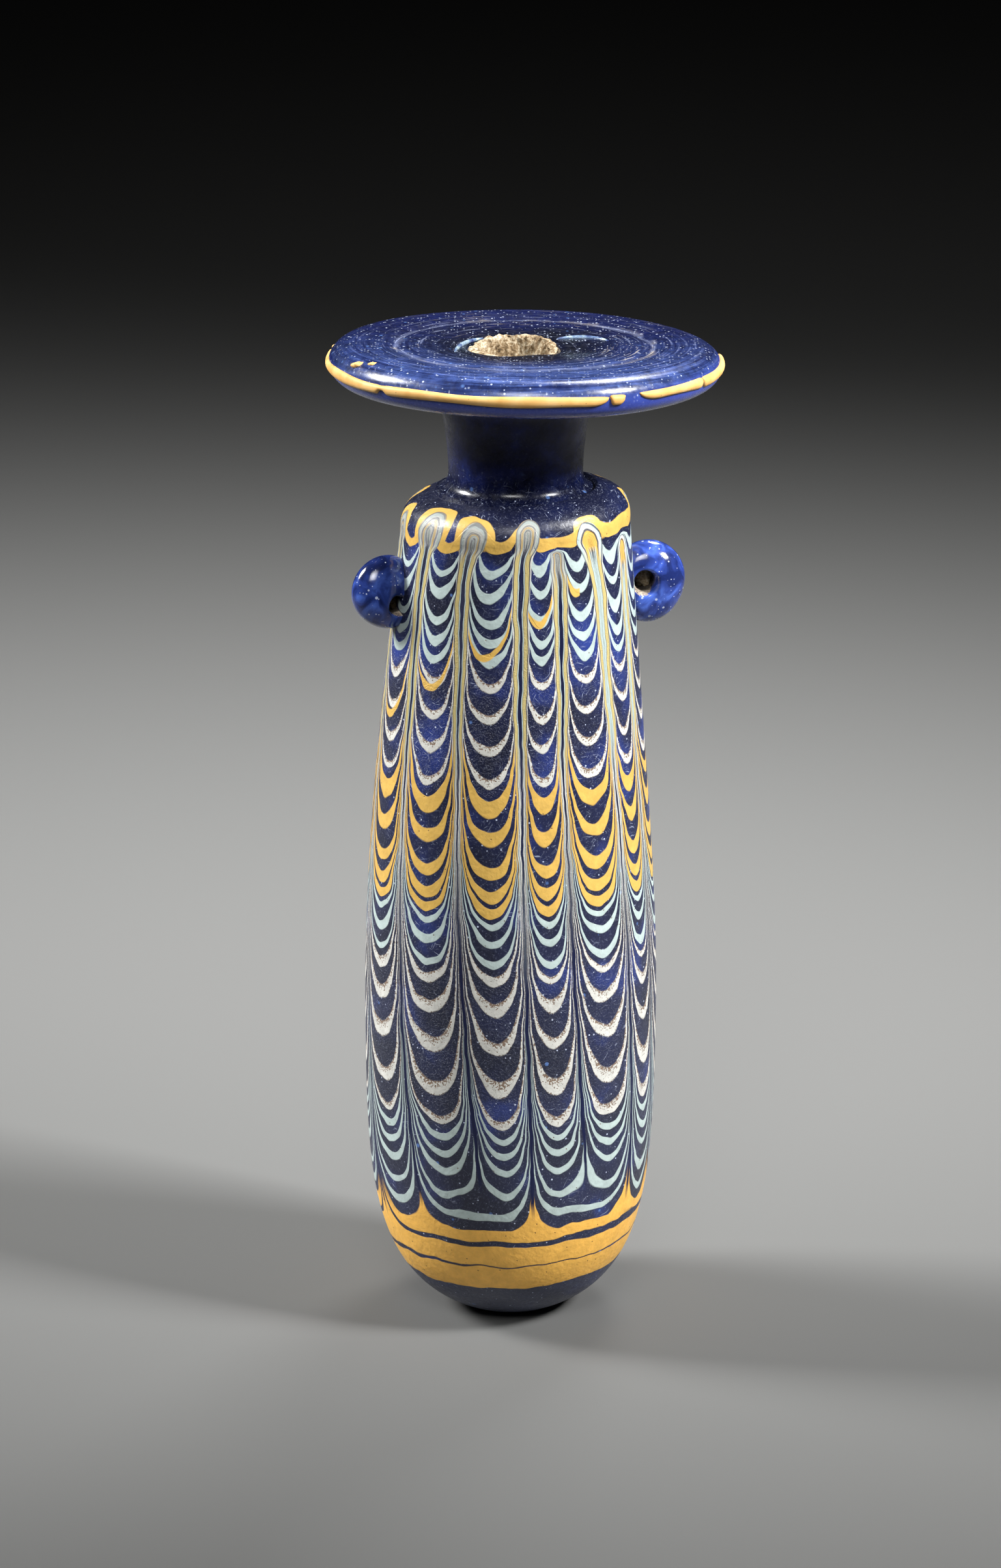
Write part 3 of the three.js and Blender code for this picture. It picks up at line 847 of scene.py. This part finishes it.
# Painted light, partly real weathering: the right lug is made up to 1.45 times brighter, where the key lamp
# falls on it.
right_paler_and_lit = add("SeparateXYZ", where)
right_paler_and_lit = add("MapRange", right_paler_and_lit, -MM, MM, 1.0, 1.45)
glow = add("VectorMath SCALE", glow, Scale=right_paler_and_lit)
layers = []
for cell, biggest, share in ((0.4 * MM, 0.3, 0.9), (0.9 * MM, 0.26, 0.8)):
    near, _ = speck_cells(add, where, cell, 0.5, 0.0, biggest)
    speck = add("MapRange", near, 0.0, 0.08, 0.0, share)
    layers.append((speck, SPECK))
bead = add("UVMap", uv_map="bead")
round_hole = add("SeparateXYZ", bead)
round_section = add("SeparateXYZ", bead, out=1)
round_section = add("Math MULTIPLY", round_section, 2 * math.pi)
from_hole = add("Math COSINE", round_section)
from_hole = add("MapRange", from_hole, -1.0, 1.0, 0.0, 1.0)
toward_low = add("Math MULTIPLY_ADD", round_hole, 2 * math.pi, math.radians(-230.0))
toward_low = add("Math COSINE", toward_low)
grit = add("TexNoise", Vector=where, Scale=1 / (0.6 * MM), Detail=4.0, Roughness=0.7)
dirt_reach = add("MapRange", toward_low, 0.0, 0.9, 0.0, 0.26)
dirt_reach = add("Math MULTIPLY", dirt_reach, grit)
dirt = add("Math SUBTRACT", dirt_reach, from_hole)
dirt = add("MapRange", dirt, -0.01, 0.01, 0.0, 0.9)
sandy_tone = add("ValToRGB", grit)
set_stops(sandy_tone, [(0.38, "#4a3826"), (0.5, SAND), (0.66, "#cfc3aa")])
# Painted shade: the wall of the hole is near black.
painted_hole_shade = add("MapRange", from_hole, 0.012, 0.03, 0.92, 0.0)
tone = layered(add, glow, layers + [(dirt, sandy_tone), (painted_hole_shade, HOLE_SHADE)])
gloss = add("MapRange", dirt, 0.0, 0.9, 0.14, 0.9)
relief = add("Math MULTIPLY_ADD", dirt, 1.5, swirl)
bump = add("Bump", Strength=0.3, Distance=0.06 * MM, Height=relief)
shader = add(
    "BsdfPrincipled", Base_Color=tone, Roughness=gloss, IOR=GLASS_IOR, Normal=bump, Coat_Weight=0.3,
    Coat_Roughness=0.06,
)
add("OutputMaterial", shader)
for lug in lugs:
    lug.data.materials.append(bead_glass)
    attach(lug, "root")
    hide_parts("alabastron")

# The rim's thread: a soft rod of ochre glass laid hot round the disk's edge, lumpy, and chipped away in
# places, so that it is left in six stretches. Crumbs of it stuck to the disk's edge and top.
THREAD_HALF = 0.64  # half its height on the edge
THREAD_DEPTH = 0.5  # half its thickness across
THREAD_ARCS = (  # name, first and last degree from the front, lift, length of each tapered end
    ("front", -101.0, 24.0, 0.0, 0.5, 2.6),
    ("loose", 24.3, 29.2, 0.12, 0.5, 1.0),
    ("right", 34.0, 62.0, 0.2, 3.4, 0.6),
    ("far_right", 62.3, 96.0, 0.2, 0.6, 0.8),
    ("back", 108.0, 170.0, 0.0, 0.8, 1.5),
    ("left", 183.0, 238.0, 0.0, 1.5, 0.8),
)
THREAD_STEP = 0.5  # degrees
THREAD_SIDES = 20


def on_disk_frame(points):
    """Points given from the middle of the disk, tilted and moved to where the disk sits."""
    x, y, z = points[..., 0], points[..., 1], points[..., 2]
    return np.stack([x + DISK_OFFSET, y, z + DISK_MIDDLE + disk_tilt(x, y)], -1)


def thread_surface(arc, section, lift, taper_start, taper_end):
    """An oval bead along the disk's edge: its height wanders slowly, and it thins upwards to each broken end.

    It is full where its distance from an end is more than the taper, and falls off as a quarter oval there.
    """
    theta = np.radians(arc)
    along = (arc - arc[0]) * np.radians(1.0) * DISK_RADIUS
    from_start = np.clip(along / taper_start, 0.0, 1.0)
    from_end = np.clip((along[-1] - along) / taper_end, 0.0, 1.0)
    full = np.sqrt(np.clip(1 - (1 - np.minimum(from_start, from_end)) ** 2, 0.004, 1.0))
    swell = 1 + 0.09 * np.sin(5 * theta + 1) + 0.07 * np.sin(11 * theta + 2)
    chip = 0.45 * np.exp(-(((arc + 45.0) / 1.6) ** 4))
    half = THREAD_HALF * full * (swell - chip)
    depth = THREAD_DEPTH * np.sqrt(full)
    rise = lift + 0.1 * np.sin(3 * theta + 2) + 0.06 * np.sin(9 * theta)
    rise = rise + THREAD_HALF * (1 - full + chip) * 0.8
    edge = DISK_RADIUS + disk_wobble(theta) - 0.1
    out = edge + depth * np.cos(section)
    return np.stack([out * np.sin(theta), -out * np.cos(theta), rise + half * np.sin(section)], -1)


def crumb_surface(around, up, size):
    """A squashed ball with three sizes, dented by slow waves."""
    dent = 1 + 0.15 * np.sin(3 * around + 2 * up) + 0.1 * np.sin(5 * around)
    ball = np.stack([np.cos(up) * np.cos(around), np.cos(up) * np.sin(around), np.sin(up) + 0 * around], -1)
    return ball * dent[..., None] * np.array(size)


thread_section = once_round(THREAD_SIDES)[None, :]
thread_parts = []
for name, first, last, lift, taper_start, taper_end in THREAD_ARCS:
    arc = np.linspace(first, last, int((last - first) / THREAD_STEP) + 2)[:, None]
    local = on_disk_frame(thread_surface(arc, thread_section, lift, taper_start, taper_end))
    thread_parts.append(capped("rim_thread_" + name, local))
CRUMBS = (  # degrees from the front, distance from the disk's middle, height over its middle plane, sizes
    (-60.0, 23.9, 1.85, (0.95, 0.45, 0.42)),
    (-55.0, 23.1, 2.25, (0.6, 0.5, 0.25)),
    (-106.0, 25.1, 0.35, (0.5, 0.45, 0.45)),
    (-114.0, 24.9, 0.75, (0.45, 0.4, 0.4)),
    (-126.0, 24.6, 0.9, (0.75, 0.5, 0.5)),
    (31.5, 25.0, 0.3, (0.4, 0.3, 0.25)),
)
CRUMB_SIDES, CRUMB_ROWS = 20, 11
CRUMB_TOP = 1.45  # radians up to its last ring
crumb_around = once_round(CRUMB_SIDES)[None, :]
crumb_up = np.linspace(-CRUMB_TOP, CRUMB_TOP, CRUMB_ROWS)[:, None]
for number_of, (degrees, out, up, size) in enumerate(CRUMBS):
    theta = math.radians(degrees)
    middle = np.array([out * math.sin(theta), -out * math.cos(theta), up])
    local = on_disk_frame(crumb_surface(crumb_around, crumb_up, size) + middle)
    thread_parts.append(capped(f"thread_crumb_{number_of + 1}", local))

# Ochre glass drawn to a soft rod: opaque, waxy, paler in clouds, with brown pin holes where bubbles burst.
ochre, add = new_material("ochre_glass_thread")
where = add("TexCoord", out=3)
clouds = add("TexNoise", Vector=where, Scale=1 / (2.5 * MM), Detail=3.0)
tone = add("ValToRGB", clouds)
set_stops(tone, [(0.3, "#d8a056"), (0.5, "#e6b56c"), (0.7, "#efc484")])
cells = add("TexVoronoi", Vector=where, Scale=1 / (0.9 * MM))
hole = add("MapRange", cells, 0.1, 0.06, 0.0, 0.7)
tone = layered(add, tone, [(hole, "#7c5426")])
relief = add("Math MULTIPLY_ADD", hole, -0.6, clouds)
bump = add("Bump", Strength=0.25, Distance=0.06 * MM, Height=relief)
shader = add(
    "BsdfPrincipled", Base_Color=tone, Roughness=0.5, IOR=GLASS_IOR, Normal=bump, Specular_IOR_Level=0.3,
)
add("OutputMaterial", shader)
for part in thread_parts:
    part.data.materials.append(ochre)
    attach(part, "root")
    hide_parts("alabastron")

# What is left of the core: a crust of burnt sand and clay that still lines the mouth and spills on its lip.
# A little of the same sand sits deep in each lug's hole.
CRUST_MIDDLE = (5.1, 124.4)  # radius and height of the middle of its section
CRUST_HALF = (0.65, 6.2)
CRUST_OPEN = math.radians(48.0)  # the side where the lip is bare
CRUST_SPILL = math.radians(-38.0)  # the side where it runs out over the lip
CRUST_TURNS, CRUST_SIDES = 180, 80
PLUG_FILL = 1.12  # radius of the sand in a lug, in radii of its hole
PLUG_BACK = 0.9  # how far behind the middle of the hole it sits


def crust_surface(theta, section):
    """A rough lining: a tall oval section with lumps, swung round the bore.

    Its top drops where the lip is bare. Elsewhere it is drawn out over the lip, most where it spilled, and
    it rises at the back.
    """
    lumps = 0.10 * np.sin(7 * theta + 5 * section) + 0.09 * np.sin(13 * theta - 8 * section)
    lumps = lumps + 0.07 * np.sin(29 * theta + 3 * section) + 0.05 * np.sin(41 * theta - 11 * section)
    from_spill = np.angle(np.exp(1j * (theta - CRUST_SPILL)))
    spill = bell(from_spill, 0.0, 0.75) + 0.15 * np.sin(8 * theta)
    bare = smoothstep(0.1, 0.95, np.cos(theta - CRUST_OPEN))
    at_top = smoothstep(0.55, 0.98, np.sin(section))
    outward = np.maximum(np.cos(section), 0.0)
    radius = CRUST_MIDDLE[0] + CRUST_HALF[0] * np.cos(section) + lumps
    far = smoothstep(0.2, 0.9, -np.cos(theta))
    radius = radius + outward * at_top * (0.9 + 1.3 * np.maximum(spill, 0.0) + 0.4 * far) * (1 - bare)
    height = CRUST_MIDDLE[1] + CRUST_HALF[1] * np.sign(np.sin(section)) * np.abs(np.sin(section)) ** 0.5
    height = height + 0.7 * lumps - at_top * (0.15 * outward + 1.6 * bare - 0.35 * far)
    return np.stack([radius * np.sin(theta) + LEAN, -radius * np.cos(theta), height], -1)


crust_turn = once_round(CRUST_TURNS)[None, :]
crust_section = once_round(CRUST_SIDES)[:, None]
crust = skin("core_crust", crust_surface(crust_turn, crust_section[::-1]))

plugs = []
for name, azimuth, twist, place, height_of, wide, tall, hole, hole_out, hole_up in LUGS:
    facing = math.radians(azimuth)
    grain_ball = crumb_surface(crumb_around, crumb_up, (PLUG_FILL * hole, 1.0, PLUG_FILL * hole))
    middle = np.array([
        (place + hole_out) * math.cos(facing) + LUG_AXIS_SHIFT,
        (place + hole_out) * math.sin(facing) + PLUG_BACK,
        height_of + hole_up,
    ])
    plugs.append(capped(name + "_sand", grain_ball + middle))

# Sandy clay burnt onto glass: matt, beige to brown in grains of about 0.4 mm, with dark hollows.
sandy, add = new_material("burnt_sand_core_crust")
where = add("TexCoord", out=3)
grains = add("TexNoise", Vector=where, Scale=1 / (0.4 * MM), Detail=5.0, Roughness=0.7)
patches = add("TexNoise", Vector=where, Scale=1 / (3 * MM), Detail=2.0)
mixed = add("Math MULTIPLY_ADD", patches, 0.6, grains)
tone = add("ValToRGB", mixed)
set_stops(tone, [
    (0.55, "#3a2c1e"), (0.72, "#80694a"), (0.86, "#b3a387"), (1.0, "#cdc6b4"),
])
bump = add("Bump", Strength=0.9, Distance=0.25 * MM, Height=grains)
shader = add("BsdfPrincipled", Base_Color=tone, Roughness=0.95, Normal=bump)
add("OutputMaterial", shader)
for part in [crust] + plugs:
    part.data.materials.append(sandy)
    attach(part, "root")
    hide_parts("alabastron")

# Folds of the lip: where the disk was pressed round the mouth, thin ridges of paler glass stand up beside it.
FOLDS = (  # four corners of each ridge's curve from the disk's middle, and half its thickness
    (((4.2, 5.2), (6.5, 6.6), (10.0, 6.6), (11.0, 3.0)), 0.34),
    (((-8.8, -4.3), (-8.6, 0.0), (-7.2, 3.6), (-5.2, 5.0)), 0.28),
)
FOLD_HEIGHT = 2.1  # of their middle over the disk's middle plane
FOLD_STEPS = 40


def fold_surface(corners, half, section):
    """A round section carried along a flat cubic curve, thinning to both ends as the root of a sine."""
    share = np.linspace(0.0, 1.0, FOLD_STEPS + 1)
    path = np.vstack([bezier(corners, FOLD_STEPS), corners[-1]])
    ahead = np.gradient(path, axis=0)
    ahead = ahead / np.linalg.norm(ahead, axis=1, keepdims=True)
    across = np.stack([ahead[:, 1], -ahead[:, 0]], -1)
    thick = (half * np.sqrt(np.sin(math.pi * share) + 0.01))[:, None]
    flat = path[:, None, :] + (thick * np.cos(section))[..., None] * across[:, None, :]
    return np.concatenate([flat, (FOLD_HEIGHT + thick * np.sin(section))[..., None]], -1)


folds = []
for number_of, (corners, half) in enumerate(FOLDS):
    local = on_disk_frame(fold_surface(corners, half, thread_section))
    folds.append(capped(f"lip_fold_{number_of + 1}", local))

# Pressed glass with air in it: pale grey blue, satin, darker in clouds of about 1 mm.
pressed, add = new_material("pressed_pale_glass_fold")
where = add("TexCoord", out=3)
clouds = add("TexNoise", Vector=where, Scale=1 / (1.2 * MM), Detail=4.0)
tone = add("ValToRGB", clouds)
set_stops(tone, [(0.38, "#232f60"), (0.52, "#5d7390"), (0.68, "#a3b5b3")])
shader = add("BsdfPrincipled", Base_Color=tone, Roughness=0.35, IOR=GLASS_IOR)
add("OutputMaterial", shader)
for part in folds:
    part.data.materials.append(pressed)
    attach(part, "root")
    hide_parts("alabastron")

# The studio: a plain floor that runs on behind, four soft lights with narrow spread that light a pale pool
# round the flask, and the photograph's viewpoint.
CAMERA_PLACE = (-1.3 * MM, -660.0 * MM, 280.0 * MM)
CAMERA_PITCH = math.radians(17.48)
FRAME_HEIGHT = 2408
FOCAL_LENGTH = 8130  # in pixels of that frame
camera_data = bpy.data.cameras.new("camera")
camera_data.sensor_width = 36.0
camera_data.lens = camera_data.sensor_width * FOCAL_LENGTH / FRAME_HEIGHT
camera_data.clip_start = 0.01
camera = put_in_scene("camera", camera_data)
camera.location = CAMERA_PLACE
camera.rotation_euler = (math.pi / 2 - CAMERA_PITCH, 0.0, 0.0)
bpy.context.scene.camera = camera
bpy.context.scene.view_settings.view_transform = "Standard"  # colours show as their hex values say

FLOOR_GREY = "#616160"
FLOOR_SIZE = 6.0  # half its side, in m
floor_mesh = bpy.data.meshes.new("floor")
corners = [(x * FLOOR_SIZE, y * FLOOR_SIZE, 0) for x, y in ((-1, -1), (1, -1), (1, 1), (-1, 1))]
floor_mesh.from_pydata(corners, [], [(0, 1, 2, 3)])
floor = put_in_scene("floor", floor_mesh)
paper, add = new_material("matt_backdrop_paper")
shader = add("BsdfPrincipled", Base_Color=linear(FLOOR_GREY), Roughness=1.0, Specular_IOR_Level=0.0)
add("OutputMaterial", shader)
floor_mesh.materials.append(paper)

LIGHTS = (  # name, degrees from +X, degrees up, distance in m, power in W, size in m, spread in degrees
    ("key", -30.0, 40.0, 0.95, 1.02, 0.2, 34.0),
    ("left", 170.0, 36.0, 0.95, 1.42, 0.4, 32.0),
    ("back", 62.0, 58.0, 0.9, 0.52, 0.3, 52.0),
    ("front", -95.0, 42.0, 1.1, 0.34, 0.45, 34.0),
)
AIM = np.array([0.0, 0.12, 0.06])  # what the lights point at, behind the flask
WORLD_GREY, WORLD_STRENGTH = "#9a9a9a", 0.03
for name, bearing, elevation, distance, power, size, spread in LIGHTS:
    light = bpy.data.lights.new(name, "AREA")
    light.energy = power
    light.size = size
    light.spread = math.radians(spread)
    lamp = put_in_scene(name, light)
    flat, up = math.radians(bearing), math.radians(elevation)
    toward = np.array([math.cos(up) * math.cos(flat), math.cos(up) * math.sin(flat), math.sin(up)])
    lamp.location = AIM + distance * toward
    lamp.rotation_euler = (math.pi / 2 - up, 0.0, flat + math.pi / 2)
world = bpy.data.worlds.new("studio")
world.use_nodes = True
background = world.node_tree.nodes["Background"]
background.inputs[0].default_value = linear(WORLD_GREY)
background.inputs[1].default_value = WORLD_STRENGTH
bpy.context.scene.world = world
